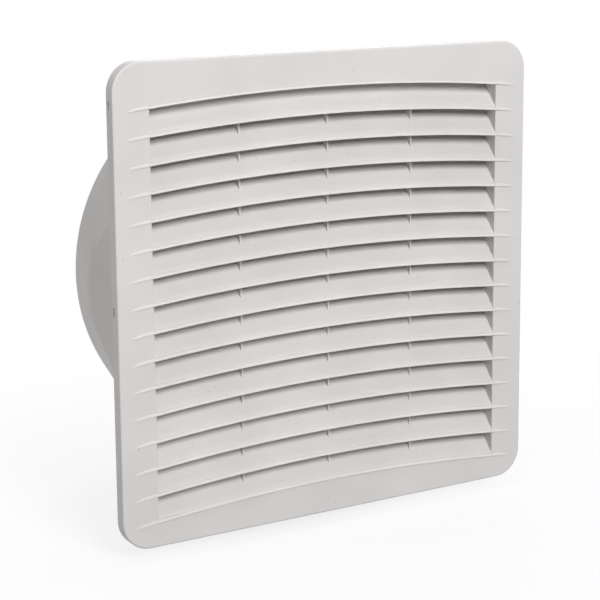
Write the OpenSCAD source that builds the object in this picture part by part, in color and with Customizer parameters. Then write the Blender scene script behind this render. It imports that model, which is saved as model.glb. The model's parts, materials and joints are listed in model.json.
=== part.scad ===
// Cabinet filter fan: louvred front cover, filter tray and axial fan in a tapered rear housing.
// The cover faces -Y and +Z is up. Y = 0 is the outer face of the cabinet door.

/* [Cut-out and tray] */
// Side of the square tray that passes through the door's cut-out
tray_w = 290; // [286:1:320]
// Corner radius of the tray
tray_r = 8; // [4:1:14]
// Wall of the tray
tray_t = 2.5; // [2:0.1:3]
// Door face to the rear of the tray
tray_d = 31; // [29:0.5:40]
// Thickness of the tray's rear plate
back_t = 3; // [2:0.1:4]
// Web left beside the round air hole in the rear plate
back_web = 7; // [5:0.5:12]
// Thickness of the flange on the door
flange_t = 2.5; // [2:0.1:3]
// Room between the flange's edge and the cover's skirt
flange_gap = 1.6; // [1.4:0.1:2]
// Diameter of the flange's corner screw holes
flange_hole_d = 4.5; // [3.5:0.1:5]
// Flange's edge to the centre of a corner screw hole
flange_hole_in = 8.7; // [7:0.1:10]
// Thickness of the foam ring
gasket_t = 2; // [1.5:0.1:2.5]
// Foam ring's edge, in from the flange's edge
gasket_in = 1.2; // [0.5:0.1:2]
// Width of the foam ring
gasket_w = 8; // [6:0.5:9]
// Room round a screw in the foam ring
gasket_hole_gap = 0.5; // [0.3:0.1:1]

/* [Cover] */
// How far the front stands past the tray on each side
front_overlap = 17.5; // [16:0.5:24]
// Corner radius of the front
front_r = 20; // [18:0.5:26]
// Rounding of the front edge
front_edge = 1.3; // [0.6:0.1:2]
// Thickness of the cover's border
cover_t = 2.5; // [2.4:0.1:3.2]
// Thickness of the skirt
skirt_t = 2.2; // [1.8:0.1:2.4]
// Front face to the rear edge of the skirt
skirt_d = 9.7; // [9:0.1:12]
// Skirt to door
skirt_lift = 0.8; // [0.5:0.1:1]
// Height of a catch slot
catch_h = 5.6; // [4:0.1:8]
// Depth of a catch slot, along the skirt
catch_d = 1.5; // [1.2:0.1:1.8]
// Front face to a catch slot
catch_in = 6.5; // [6:0.1:7]
// How far a catch's nib reaches into its slot
catch_bite = 0.7; // [0.4:0.1:1]
// Middle to the upper catch slot
catch_top = 135; // [110:1:136]

/* [Louvres] */
// Lip to lip
louvre_pitch = 18.5; // [15:0.5:24]
// Radius of the arched lips
lip_r = 1400; // [1200:10:2000]
// Height of a lip
lip_h = 2.6; // [2:0.1:3]
// Radius of a lip's rounded edge
lip_bead_r = 1.5; // [1.2:0.1:1.8]
// How far a lip stands out of the border
lip_proud = 0.8; // [0.4:0.1:0.9]
// How far a lip runs out over the side border
lip_run = 17; // [10:1:18]
// Length of the point at a lip's end
lip_tip = 8; // [4:0.5:9]
// Depth of a blade, front face to rear edge
blade_d = 18; // [14:0.5:18]
// Rise of a blade over its depth
blade_rise = 18.5; // [14:0.5:20]
// Wall at the ends of the blades
end_t = 1.6; // [1.2:0.1:2]
// Blade ends to the tray
end_gap = 3.5; // [3:0.1:5]
// Uppermost lip to the tray
top_gap = 1.4; // [1:0.1:3]
// Lowest lip to the tray
bottom_gap = 3; // [2.5:0.1:6]
// Middle to an outer row of ribs
rib_x = 68.6; // [50:0.1:90]
// Thickness of a rib
rib_t = 1.2; // [0.8:0.1:2]
// Front face to the front of the ribs
rib_recess = 6.8; // [6:0.1:11]

/* [Cover hinges] */
// Middle to a hinge
hinge_x = 100; // [60:1:115]
// Radius of a stub pin
hinge_pin_r = 0.8; // [0.7:0.05:0.9]
// Wall of a knuckle
hinge_wall = 0.75; // [0.6:0.05:0.8]
// Width of the ear between two knuckles
hinge_ear_w = 6; // [4:0.5:10]
// Width of a knuckle
hinge_knuckle_w = 4.4; // [3:0.1:8]

/* [Side clips] */
// Middle to a clip, along Z
clip_z = 60; // [40:1:90]
// Width of a clip
clip_w = 23.4; // [16:0.1:30]
// Thickness of a clip's leaf
clip_t = 2; // [1.6:0.1:2.4]
// How far the barb stands out of the tray
clip_barb = 2.2; // [1.5:0.1:3]
// Thickest door sheet
door_t = 2.2; // [1.5:0.1:2.5]
// Radius of a clip's pivot
clip_pin_r = 1.25; // [1:0.05:1.4]
// Length of a clip, barb to pivot
clip_l = 18.5; // [16:0.1:19]
// Length of a clip's ramp
clip_ramp = 11; // [8:0.5:12]
// Radius of a clip's rolled end
clip_roll_r = 1.5; // [1.4:0.05:1.8]
// Width of a pad beside a clip
boss_w = 4; // [3:0.5:6]
// How far a pad stands into the tray
boss_proud = 1.7; // [1.4:0.1:2.2]

/* [Filter] */
// Tray wall to the filter mat
mat_gap = 3.5; // [2.5:0.1:5]
// Blades to mat and mat to grid
mat_air = 0.4; // [0.3:0.1:1]
// Depth of the support grid
grid_d = 3; // [2:0.1:4]
// Bar of the support grid
grid_bar = 2; // [1.5:0.1:3]
// Cells along each side of the support grid
grid_n = 9; // [6:1:12]

/* [Rear housing] */
// Wall of the rear housing
funnel_t = 2.5; // [2:0.1:3]
// Tray to the rear end of the housing
funnel_d = 95; // [92:1:110]
// Radius of the housing's cone at its foot
foot_r = 154.6; // [150:0.2:158]
// Thickness of the housing's square foot
foot_t = 3; // [2:0.1:4]
// Thickness of the ring at the rear end
rear_t = 2.5; // [2:0.1:4]
// Tray's edge to a foot screw
foot_screw_in = 15; // [12:0.5:17]

/* [Fan] */
// Radius of the air passage in the fan ring
fan_r = 119; // [110:0.5:122]
// Wall of the fan ring
ring_t = 3; // [2:0.1:4]
// Length of the fan ring
ring_l = 76; // [74:0.5:78]
// Flare of the fan ring's inlet
ring_flare = 7; // [3:0.5:9]
// Length of the inlet's flare
flare_l = 10.5; // [6:0.5:14]
// Width of the ring's screw flange
ring_flange_w = 7; // [6.5:0.1:9]
// Screw flange to the rear housing
ring_gap = 2.4; // [1:0.1:4]
// Radius of the motor plate
plate_r = 46; // [44:0.5:56]
// Thickness of the motor plate
plate_t = 7; // [6.5:0.1:9]
// Width of a strut
strut_w = 8; // [5:0.5:12]
// Depth of a strut
strut_d = 8; // [7:0.5:9]
// Width of the tab at a strut's end
tab_w = 22; // [18:0.5:26]
// Thickness of the tab at a strut's end
tab_t = 2; // [1.6:0.1:2.4]
// Radius of a rivet
rivet_r = 1.6; // [1.4:0.1:1.8]
// Radius of a rivet's head
rivet_head_r = 2.8; // [2.4:0.1:3]
// Height of a rivet's head
rivet_head_h = 1.2; // [0.8:0.1:1.6]
// Blades on the impeller
blade_n = 7; // [5:1:9]
// Impeller tip to ring
tip_gap = 2.5; // [1.5:0.1:4]
// Chord of an impeller blade
chord = 60; // [46:1:62]
// Pitch of an impeller blade
pitch_angle = 30; // [24:1:31]
// Thickness of an impeller blade
vane_t = 2; // [1.5:0.1:3]
// Radius of an impeller blade's camber
camber_r = 95; // [80:1:140]

/* [Motor] */
// Radius of the shaft
shaft_r = 4; // [3.5:0.1:4.5]
// Outer radius of a bearing
bearing_r = 11; // [10.6:0.1:12]
// Width of a bearing
bearing_w = 7; // [6:0.5:8]
// Radius of a bearing ball
ball_r = 2; // [1.6:0.05:2.1]
// Wall of the bearing tube
tube_t = 2.5; // [2:0.1:3]
// Outer radius of the stator
stator_r = 32; // [28:0.5:34]
// Length of the stator stack
stator_l = 24; // [18:0.5:26]
// Slots of the stator
slot_n = 12; // [8:1:16]
// Radius of a stator slot
slot_r = 3.5; // [2.5:0.1:4]
// Stator's rim to a slot
slot_in = 2.1; // [1.5:0.1:3]
// Height of a winding's end turns
turn_h = 6; // [4:0.5:6]
// Bearing tube to the end turns
turn_in = 3; // [2:0.1:5]
// Stator's rim to the end turns
turn_out = 2; // [1:0.1:4]
// Bevel of the end turns
turn_edge = 1.8; // [1:0.1:2]
// Stator to rotor
air_gap = 0.6; // [0.4:0.05:1]
// Wall of the squirrel-cage ring
cage_t = 5.3; // [4:0.1:6]
// Wall of the rotor cup
cup_t = 2.5; // [2:0.1:3]
// Wall of the impeller's hub
hub_t = 2.5; // [2:0.1:4]

/* [Guard and screws] */
// Radius of the guard's wire
wire_r = 1.1; // [0.8:0.05:1.4]
// Radius of the guard's spokes
spoke_r = 1.35; // [1.1:0.05:1.6]
// Radius of the guard's first ring
guard_first = 21; // [16:0.5:30]
// Spacing of the guard's rings
guard_pitch = 8.5; // [7:0.5:10]
// Thickness of the guard's eyelets
eye_t = 1.6; // [1.2:0.1:2]
// Rim of an eyelet past the screw head
eye_rim = 1; // [0.8:0.1:1.5]
// Radius of a screw
screw_r = 2; // [1.5:0.1:2.2]
// Radius of a screw head
screw_head_r = 3.5; // [3:0.1:4]
// Height of a screw head
screw_head_h = 2.4; // [1.8:0.1:3]
// Length of the cross in a screw head
drive_l = 4.5; // [3.5:0.1:5]
// Width of the cross in a screw head
drive_w = 1; // [0.8:0.1:1.2]
// Depth of the cross in a screw head
drive_d = 1.2; // [0.8:0.1:1.6]

/* [Terminals] */
// Length of the terminal block
term_l = 34; // [26:1:38]
// Width of the terminal block
term_w = 13; // [11:0.5:14]
// Height of the terminal block
term_h = 16; // [12:0.5:20]
// Ways of the terminal block
term_n = 3; // [2:1:4]
// Wall of the terminal cover
term_wall = 1.6; // [1.2:0.1:2]
// Radius of a wire's way through the terminal block
way_r = 1.8; // [1.4:0.1:2.2]
// Housing's foot to a wire's way
way_y = 4.8; // [4:0.1:6]
// Width of a terminal screw's slot
term_slot_w = 0.8; // [0.6:0.1:1]
// Depth of a terminal screw's slot
term_slot_d = 2.1; // [1:0.1:2.5]
// Radius of the terminal cover's cable entry
entry_r = 3.5; // [2.5:0.1:4]
// Housing's foot to the cable entry
entry_y = 7.2; // [6:0.1:9]

/* [Hidden] */
$fn = 96;
// Running clearance of a pin or shaft
run = 0.05;
// Clearance between pieces that pass each other
pass = 0.3;
// Overlap that joins two shapes of one piece
join = 0.5;
// Reach of a cut beyond the piece that it cuts
over = 1;
// Segments of a full turn on the long lip arcs
arc_fn = 720;

tray_half = tray_w / 2;
tray_in = tray_half - tray_t;
front_half = tray_half + front_overlap;
front_w = 2 * front_half;
front_y = -(skirt_d + skirt_lift);
skirt_in = front_half - skirt_t;
flange_y = -gasket_t - flange_t;
flange_half = skirt_in - flange_gap;
flange_r = front_r - skirt_t - flange_gap;
hole_at = flange_half - flange_hole_in;
gasket_half = flange_half - gasket_in;
gasket_r = flange_r - gasket_in;
back_y = tray_d - back_t;
air_r = tray_half - back_web;

// Louvres: the lips are arcs about points far below, one pitch apart
// End walls stand a little back from the border's edge, and blades start behind the lip's round front
end_step = 0.4;
end_in = 1;
lip_seat = 0.2;
open_half = tray_in - end_gap - end_t - end_step;
lip_top = tray_in - top_gap - lip_h / 2;
louvre_n = floor((lip_top + tray_in - lip_h / 2 - bottom_gap) / louvre_pitch);
open_sag = lip_r - sqrt(pow(lip_r, 2) - pow(open_half, 2));
rib_sag = lip_r - sqrt(pow(lip_r, 2) - pow(rib_x, 2));
blade_rear = front_y + blade_d;
// A lip's edge is rounded above its flat underside, and the border reaches down behind the first one
lip_low = -lip_h / 2;
field_step = lip_h / 4;
// Past the opening each lip goes on level, a little slimmer, and its point ends inside the face
lip_lap = 1.5;
tail_step = 0.08;
tip_past = 1.3;
lip_axis = lip_bead_r - lip_proud;
lip_end = open_half + lip_run;
tail_at = open_half + lip_lap;
tail_sag = lip_r - sqrt(pow(lip_r, 2) - pow(tail_at, 2));
tail_r = lip_bead_r - tail_step;
function lip_z(i) = lip_top - i * louvre_pitch;

// Catches and hinges
catch_y = front_y + catch_in;
catch_z = [0, catch_top];
nib_h = catch_h - 2 * pass;
nib_t = catch_d - 2 * pass;
knuckle_r = hinge_pin_r + run + hinge_wall;
hinge_y = -knuckle_r - pass;
hinge_z = -front_half + knuckle_r;
bottom_edge_y = hinge_y + hinge_pin_r;
// A hinge ear starts behind the flange's front
ear_step = 1;
knuckle_at = hinge_ear_w / 2 + pass + hinge_knuckle_w / 2;

// Side clips
clip_front = door_t + pass;
clip_y = clip_front + clip_l;
boss_t = tray_t + boss_proud;
boss_in = tray_half - boss_t;
clip_x = tray_half - boss_t / 2;
clip_signs = [[-1, 1], [-1, -1], [1, 1], [1, -1]];

// Filter
mat_half = tray_in - mat_gap;
grid_y = back_y - grid_d;

// Rear housing
foot_y = tray_d + foot_t;
rear_y = tray_d + funnel_d;
ring_flange_r = fan_r + ring_t + ring_flange_w;
rear_r = ring_flange_r + ring_gap + funnel_t;
funnel_slope = (foot_r - rear_r) / (rear_y - foot_y);
foot_at = tray_half - foot_screw_in;

// Fan
ring_rear = rear_y - rear_t;
ring_front = ring_rear - ring_l;
fan_screw_at = fan_r + ring_t + ring_flange_w / 2;
ring_flange_t = 3;
plate_inset = 2.5;
plate_rear = ring_rear - plate_inset;
plate_front = plate_rear - plate_t;
strut_front = plate_rear - strut_d;
tip_r = fan_r - tip_gap;
spoke_n = 4;
// Tabs end short of the struts' faces, and the rivets sit in the middle of their free sides
tab_step = 0.5;
tab_out = fan_r - run;
rivet_y = plate_rear - strut_d / 2;
rivet_turn = asin((strut_w + tab_w) / 4 / fan_r);
// An impeller blade's edges ahead of and behind its middle, as shares of the chord, at root, belly and tip
vane_lead = [0.36, 0.5, 0.34];
vane_trail = [0.3, 0.42, 0.5];
vane_belly_r = 0.7 * tip_r;
vane_root_r = 34;
camber_rise = chord * chord / (8 * camber_r);

// Motor, from the motor plate forward
cage_in = stator_r + air_gap;
cage_out = cage_in + cage_t;
cup_r = cage_out + run + cup_t;
hub_r = cup_r + run + hub_t;
tube_r = bearing_r + tube_t;
seat_step = 1.5;
seat_in = bearing_r - seat_step;
circlip_t = 0.8;
circlip_w = 1.2;
groove_d = 0.5;
washer_t = 0.8;
// Rear bearing to the end of the shaft, shaft to the end of its bore, and the floor behind that
shaft_past = 2.4;
bore_past = 1;
bore_floor = 1.8;
// Tube's end to the front bearing
bearing_in = 1;
rear_bearing_y = plate_rear - bore_floor - bore_past - shaft_past - bearing_w;
// Windings to motor plate, cup to motor plate, and cup front to windings
winding_gap = 4;
cup_gap = 6;
cup_nose = 7;
winding_rear = plate_front - winding_gap;
stator_y = winding_rear - turn_h - stator_l;
winding_front = stator_y - turn_h;
front_bearing_y = winding_front + bearing_in;
cup_front = winding_front - cup_nose;
cup_rear = plate_front - cup_gap;
shaft_rear = rear_bearing_y + bearing_w + shaft_past;
circlip_y = rear_bearing_y + bearing_w + 2 * run;
ball_n = 7;
ball_at = (shaft_r + bearing_r) / 2;
vane_y = (cup_front + cup_rear) / 2;

// Guard
guard_y = rear_y + spoke_r + 2 * run;
guard_ring_y = guard_y + spoke_r + wire_r - join;
guard_n = floor((fan_r - wire_r - guard_first) / guard_pitch);

// Terminals, on the diagonal of the lower right corner
term_clear = 3;
term_fit = 0.4;
way_top = way_y + way_r;
term_at = foot_r + term_clear + term_wall + term_fit + term_w / 2;

housing_grey = "#d6d4d3";
steel = "#a9adb0";
dark_metal = "#33353a";

// A flat shape in X and Z, given depth from y0 to y1
module slab(y0, y1) {
    translate([0, y1, 0])
        rotate([90, 0, 0])
            linear_extrude(y1 - y0)
                children();
}

// A flat shape in Y and Z, given a thickness along X about the middle
module upright(t) {
    rotate([0, 0, 90])
        rotate([90, 0, 0])
            linear_extrude(t, center = true)
                children();
}

// A profile of radius and Y, turned about the Y axis
module spun() {
    rotate([-90, 0, 0])
        rotate_extrude()
            children();
}

// A ring about the Y axis
module ring(r0, r1, y0, y1) {
    slab(y0, y1)
        difference() {
            circle(r1);
            circle(r0);
        }
}

module disc(r, y0, y1) {
    slab(y0, y1)
        circle(r);
}

// A block between two corners
module block(low, high) {
    translate(low)
        cube(high - low);
}

// A square with round corners, from its half side
module round_square(half, r) {
    square([2 * half, 2 * (half - r)], center = true);
    square([2 * (half - r), 2 * half], center = true);
    for (x = [-1, 1], z = [-1, 1])
        translate([x * (half - r), z * (half - r)])
            circle(r);
}

module square_ring(half_out, r_out, half_in, r_in) {
    difference() {
        round_square(half_out, r_out);
        round_square(half_in, r_in);
    }
}

// Copies at the four corners of a square in X and Z
module at_corners(at) {
    for (x = [-at, at], z = [-at, at])
        translate([x, 0, z])
            children();
}

// Copies round the Y axis
module around(n, r, turn = 0) {
    for (i = [0 : n - 1])
        rotate([0, turn + i * 360 / n, 0])
            translate([r, 0, 0])
                children();
}

// A pan-head screw along Y: the head rises from y_seat towards +Y, the shank ends at y_tip
module screw(y_seat, y_tip) {
    y_top = y_seat + screw_head_h;
    disc(screw_r, y_tip, y_seat + join);
    difference() {
        disc(screw_head_r, y_seat, y_top);
        for (turn = [0, 90])
            rotate([0, turn, 0])
                block([-drive_l / 2, y_top - drive_d, -drive_w / 2],
                      [drive_l / 2, y_top + over, drive_w / 2]);
    }
}

// A profile of height and Y, swept along the arc of a lip
module arched(crown, half) {
    a = asin(half / lip_r);
    translate([0, 0, crown - lip_r])
        rotate([-90, 0, 0])
            rotate([0, 0, -90 - a])
                rotate_extrude(angle = 2 * a, $fn = arc_fn)
                    translate([lip_r, 0])
                        children();
}

// Rounded front: corner quarters, edge bars and a middle, each from the same edge profile
module front_edge_profile() {
    square([front_r, skirt_d - front_edge]);
    square([front_r - front_edge, skirt_d]);
    translate([front_r - front_edge, skirt_d - front_edge])
        circle(front_edge);
}

module front_block() {
    at = front_half - front_r;
    translate([0, front_y + skirt_d, 0])
        rotate([90, 0, 0]) {
            linear_extrude(skirt_d)
                square(2 * at, center = true);
            for (side = [0 : 3])
                rotate([0, 0, side * 90]) {
                    translate([at, at, 0])
                        rotate_extrude(angle = 90)
                            front_edge_profile();
                    translate([at, at, 0])
                        rotate([90, 0, 0])
                            linear_extrude(2 * at)
                                front_edge_profile();
                }
        }
}

// The field of louvres, as a flat outline between the first and last lip
module louvre_field() {
    intersection() {
        square([2 * open_half, front_w], center = true);
        difference() {
            translate([0, lip_z(0) - field_step - lip_r])
                circle(lip_r, $fn = arc_fn);
            translate([0, lip_z(louvre_n) - lip_r])
                circle(lip_r, $fn = arc_fn);
        }
    }
}

module blade_profile() {
    polygon([
        [-lip_h / 2, front_y + lip_seat],
        [lip_h / 2, front_y + lip_seat],
        [lip_h / 2 + blade_rise, blade_rear],
        [-lip_h / 2 + blade_rise, blade_rear]
    ]);
}

// Blades between the end walls, and the straight wall behind the uppermost lip
module louvre_blades() {
    reach = open_half + end_step + end_t;
    intersection() {
        union() {
            for (i = [1 : louvre_n])
                arched(lip_z(i), reach + over)
                    blade_profile();
            arched(lip_z(0), reach + over)
                translate([-lip_h / 2, front_y + lip_seat])
                    square([lip_h, blade_d - lip_seat]);
        }
        cube([2 * (open_half + end_step) + end_t, 4 * blade_d, 2 * front_w], center = true);
    }
}

module louvre_end_wall() {
    first = lip_z(0) - open_sag;
    last = lip_z(louvre_n) - open_sag;
    translate([open_half + end_step + end_t / 2, 0, 0])
        upright(end_t)
            polygon([
                [front_y + end_in, last - lip_h / 2],
                [front_y + end_in, first + lip_h / 2],
                [blade_rear, first + lip_h / 2],
                [blade_rear, last - lip_h / 2 + blade_rise]
            ]);
}

// A lip's level end, drawn to a point in the face
module lip_tail() {
    straight = lip_end - lip_tip - tail_at;
    tip_r = tail_r - tip_past * (tail_r - lip_axis);
    intersection() {
        rotate([0, 90, 0]) {
            translate([0, 0, -join])
                cylinder(r = tail_r, h = straight + join, $fn = 32);
            translate([0, 0, straight])
                cylinder(r1 = tail_r, r2 = tip_r, h = tip_past * lip_tip, $fn = 32);
        }
        block([-over, -lip_h, -tail_step], [2 * lip_run, lip_h, lip_h]);
    }
}

// Lips stand out of the face and run out over the side borders
module lips() {
    for (i = [0 : louvre_n]) {
        arched(lip_z(i), tail_at)
            translate([lip_low, front_y + lip_axis])
                intersection() {
                    circle(lip_bead_r, $fn = 32);
                    translate([0, -lip_h])
                        square([lip_h, 2 * lip_h]);
                }
        for (side = [0, 1])
            mirror([side, 0, 0])
                translate([tail_at, front_y + lip_axis, lip_z(i) + lip_low - tail_sag])
                    lip_tail();
    }
}

module rib() {
    upright(rib_t)
        polygon([
            [front_y + rib_recess, lip_z(louvre_n) + rib_recess],
            [blade_rear, lip_z(louvre_n) + blade_rise],
            [blade_rear, lip_z(1) + blade_rise],
            [front_y + rib_recess, lip_z(1) + rib_recess * blade_rise / blade_d]
        ]);
}

// One catch slot in the right wall, with the channel that lets the nib in
module catch_slot() {
    block([skirt_in - over, catch_y - catch_d / 2, -catch_h / 2],
          [front_half + over, catch_y + catch_d / 2, catch_h / 2]);
    block([skirt_in - over, catch_y - catch_d / 2, -catch_h / 2 - pass],
          [skirt_in + catch_bite + pass, over, catch_h / 2 + pass]);
}

// The hinges' axis and its two places
module at_hinges() {
    for (x = [-hinge_x, hinge_x])
        translate([x, hinge_y, hinge_z])
            children();
}

module along_x(r, l) {
    rotate([0, 90, 0])
        cylinder(r = r, h = l, center = true);
}

module grille_cover() {
    knuckles_w = hinge_ear_w + 2 * hinge_knuckle_w + 2 * pass;
    color(housing_grey)
        difference() {
            union() {
                difference() {
                    front_block();
                    slab(front_y + cover_t, over)
                        round_square(skirt_in, front_r - skirt_t);
                    slab(front_y - over, over)
                        louvre_field();
                    for (side = [0, 1], z = catch_z)
                        mirror([side, 0, 0])
                            translate([0, 0, z])
                                catch_slot();
                    block([-front_half, bottom_edge_y, -front_half - over],
                          [front_half, over, -skirt_in + over]);
                }
                louvre_blades();
                lips();
                for (side = [0, 1])
                    mirror([side, 0, 0])
                        louvre_end_wall();
                for (at = [[-rib_x, rib_sag], [0, 0], [rib_x, rib_sag]])
                    translate([at[0], 0, -at[1]])
                        rib();
                at_hinges()
                    for (side = [-1, 1])
                        translate([side * knuckle_at, 0, 0])
                            along_x(knuckle_r, hinge_knuckle_w);
            }
            at_hinges() {
                along_x(hinge_pin_r + run, knuckles_w + 2 * over);
                cube([hinge_ear_w + 2 * pass, 2 * knuckle_r + 2 * pass, 2 * knuckle_r + 2 * pass],
                     center = true);
            }
        }
}

// Pads inside the tray wall that carry a clip's pivot
module clip_bosses() {
    inner = clip_w / 2 + pass;
    for (side = [-1, 1])
        translate([0, 0, side * (inner + boss_w / 2)])
            block([boss_in, clip_y - boss_w, -boss_w / 2], [tray_half, back_y + join, boss_w / 2]);
}

// The opening in the tray wall for a clip, with the pivot's holes
module clip_window() {
    inner = clip_w / 2 + pass;
    block([boss_in - over, clip_front - pass, -inner],
          [tray_half + over, clip_y + clip_roll_r + pass, inner]);
    translate([clip_x, clip_y, 0])
        cylinder(r = clip_pin_r + run, h = 2 * inner + boss_w + 2 * pass, center = true);
}

module hinge_ear() {
    along_x(knuckle_r - pass / 2, hinge_ear_w);
    along_x(hinge_pin_r, hinge_ear_w + 2 * hinge_knuckle_w + 2 * pass);
    block([-hinge_ear_w / 2, flange_y - hinge_y + ear_step, 0],
          [hinge_ear_w / 2, -gasket_t - hinge_y, -flange_half + join - hinge_z]);
}

module mounting_frame() {
    nib_w = skirt_in + catch_bite - flange_half;
    color(housing_grey)
        difference() {
            union() {
                slab(flange_y, -gasket_t)
                    square_ring(flange_half, flange_r, tray_in, tray_r - tray_t);
                slab(flange_y, tray_d)
                    square_ring(tray_half, tray_r, tray_in, tray_r - tray_t);
                slab(back_y, tray_d)
                    difference() {
                        round_square(tray_half, tray_r);
                        circle(air_r);
                    }
                for (side = [0, 1], z = catch_z)
                    mirror([side, 0, 0])
                        translate([0, 0, z])
                            block([flange_half - join, catch_y - nib_t / 2, -nib_h / 2],
                                  [flange_half + nib_w, catch_y + nib_t / 2, nib_h / 2]);
                for (side = [0, 1], z = [-clip_z, clip_z])
                    mirror([side, 0, 0])
                        translate([0, 0, z])
                            clip_bosses();
                at_hinges()
                    hinge_ear();
            }
            for (side = [0, 1], z = [-clip_z, clip_z])
                mirror([side, 0, 0])
                    translate([0, 0, z])
                        clip_window();
            at_corners(hole_at)
                disc(flange_hole_d / 2, flange_y - over, over);
            at_corners(foot_at)
                disc(screw_r + run, back_y - over, tray_d + over);
        }
}

module frame_gasket() {
    color("#4a4a4a")
        difference() {
            slab(-gasket_t, 0)
                square_ring(gasket_half, gasket_r, gasket_half - gasket_w, gasket_r);
            at_corners(hole_at)
                disc(flange_hole_d / 2 + gasket_hole_gap, -gasket_t - over, over);
        }
}

// A clip on the right wall, about its own middle height
module clip() {
    leaf_in = clip_x - clip_t / 2;
    leaf_out = clip_x + clip_t / 2;
    barb_x = tray_half + clip_barb;
    color(housing_grey) {
        linear_extrude(clip_w, center = true)
            polygon([
                [leaf_in, clip_front],
                [barb_x - clip_t / 2, clip_front],
                [barb_x, clip_front + clip_t / 2],
                [leaf_out, clip_front + clip_ramp],
                [leaf_out, clip_y],
                [leaf_in, clip_y]
            ]);
        translate([clip_x, clip_y, 0])
            cylinder(r = clip_pin_r, h = clip_w + boss_w + 2 * pass, center = true);
        translate([clip_x, clip_y, 0])
            cylinder(r = clip_roll_r, h = clip_w, center = true);
    }
}

module placed_clip(i) {
    mirror([clip_signs[i][0] < 0 ? 1 : 0, 0, 0])
        translate([0, 0, clip_signs[i][1] * clip_z])
            clip();
}

module filter_mat() {
    color("#e9e8e2")
        slab(blade_rear + mat_air, grid_y - mat_air)
            round_square(mat_half, tray_r - tray_t);
}

module filter_support() {
    cell = (2 * mat_half - grid_bar) / grid_n;
    color(housing_grey)
        slab(grid_y, back_y)
            difference() {
                round_square(mat_half, tray_r - tray_t);
                for (i = [0 : grid_n - 1], j = [0 : grid_n - 1])
                    translate([-mat_half + grid_bar + i * cell, -mat_half + grid_bar + j * cell])
                        square(cell - grid_bar);
            }
}

// A cone from the square foot to the rear ring, kept inside the tray's square
module funnel_form(inset) {
    intersection() {
        spun()
            polygon([
                [0, foot_y - join],
                [foot_r - inset + join * funnel_slope, foot_y - join],
                [rear_r - inset, rear_y],
                [0, rear_y]
            ]);
        slab(tray_d, rear_y + over)
            square(2 * (tray_half - inset), center = true);
    }
}

module fan_funnel() {
    color(housing_grey)
        difference() {
            union() {
                slab(tray_d, foot_y)
                    round_square(tray_half, tray_r);
                funnel_form(0);
            }
            difference() {
                funnel_form(funnel_t);
                disc(rear_r, rear_y - rear_t, rear_y + over);
            }
            slab(tray_d - over, foot_y)
                intersection() {
                    circle(foot_r - funnel_t);
                    square(2 * (tray_half - funnel_t), center = true);
                }
            disc(fan_r + run, rear_y - rear_t - over, rear_y + over);
            at_corners(foot_at)
                disc(screw_r + run, tray_d - over, foot_y + over);
            around(spoke_n, fan_screw_at, 45)
                disc(screw_r + run, rear_y - rear_t - over, rear_y + over);
        }
}

module funnel_screws() {
    color(steel)
        at_corners(foot_at)
            screw(foot_y, back_y + pass);
}

// Copies at the rivets, two beside each strut: X runs outward from the ring's inner face
module at_rivets() {
    for (side = [-1, 1])
        around(spoke_n, fan_r, side * rivet_turn)
            translate([0, rivet_y, 0])
                children();
}

module rivet_hole() {
    along_x(rivet_r + run, 2 * (ring_t + tab_t));
}

module fan_ring() {
    outer = fan_r + ring_t;
    color(dark_metal)
        difference() {
            spun()
                polygon([
                    [fan_r, ring_front + flare_l],
                    [fan_r + ring_flare, ring_front],
                    [outer + ring_flare, ring_front + ring_t / 2],
                    [outer, ring_front + flare_l + ring_t / 2],
                    [outer, ring_rear - ring_flange_t],
                    [ring_flange_r, ring_rear - ring_flange_t],
                    [ring_flange_r, ring_rear],
                    [fan_r, ring_rear]
                ]);
            around(spoke_n, fan_screw_at, 45)
                disc(screw_r + run, ring_rear - ring_flange_t - over, ring_rear + over);
            at_rivets()
                rivet_hole();
        }
}

// Motor plate with the bearing tube, and struts with curved tabs against the ring
module motor_bracket() {
    color(dark_metal)
        difference() {
            union() {
                disc(plate_r, plate_front, plate_rear);
                disc(tube_r, winding_front, plate_front + join);
                around(spoke_n, 0) {
                    block([plate_r - over, strut_front, -strut_w / 2],
                          [tab_out - tab_t / 2, plate_rear, strut_w / 2]);
                    intersection() {
                        ring(tab_out - tab_t, tab_out, strut_front + tab_step, plate_rear - tab_step);
                        block([0, strut_front, -tab_w / 2], [fan_r, plate_rear, tab_w / 2]);
                    }
                }
            }
            disc(seat_in, winding_front - over, rear_bearing_y + over);
            disc(bearing_r + run, winding_front - over, front_bearing_y + bearing_w + washer_t + 4 * run);
            disc(bearing_r + run, rear_bearing_y - run, shaft_rear + bore_past);
            at_rivets()
                rivet_hole();
        }
}

module bracket_rivets() {
    inner = -tab_t - 2 * run;
    outer = ring_t + run;
    color(steel)
        at_rivets() {
            translate([(inner + outer) / 2, 0, 0])
                along_x(rivet_r, outer - inner + 2 * join);
            for (x = [inner - rivet_head_h / 2, outer + rivet_head_h / 2])
                translate([x, 0, 0])
                    along_x(rivet_head_r, rivet_head_h);
        }
}

module stator_core() {
    color("#7d7f82")
        difference() {
            ring(tube_r + run, stator_r, stator_y, stator_y + stator_l);
            around(slot_n, stator_r - slot_in - slot_r)
                disc(slot_r, stator_y - over, stator_y + stator_l + over);
        }
}

module stator_windings() {
    inner = tube_r + turn_in;
    outer = stator_r - turn_out;
    color("#a5612f")
        for (y = [winding_front, stator_y + stator_l])
            spun()
                polygon([
                    [inner, y],
                    [outer - turn_edge, y],
                    [outer, y + turn_edge],
                    [outer, y + turn_h - turn_edge],
                    [outer - turn_edge, y + turn_h],
                    [inner, y + turn_h]
                ]);
}

module rotor_ring() {
    color("#8b8d90")
        ring(cage_in, cage_out, stator_y, stator_y + stator_l);
}

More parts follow.
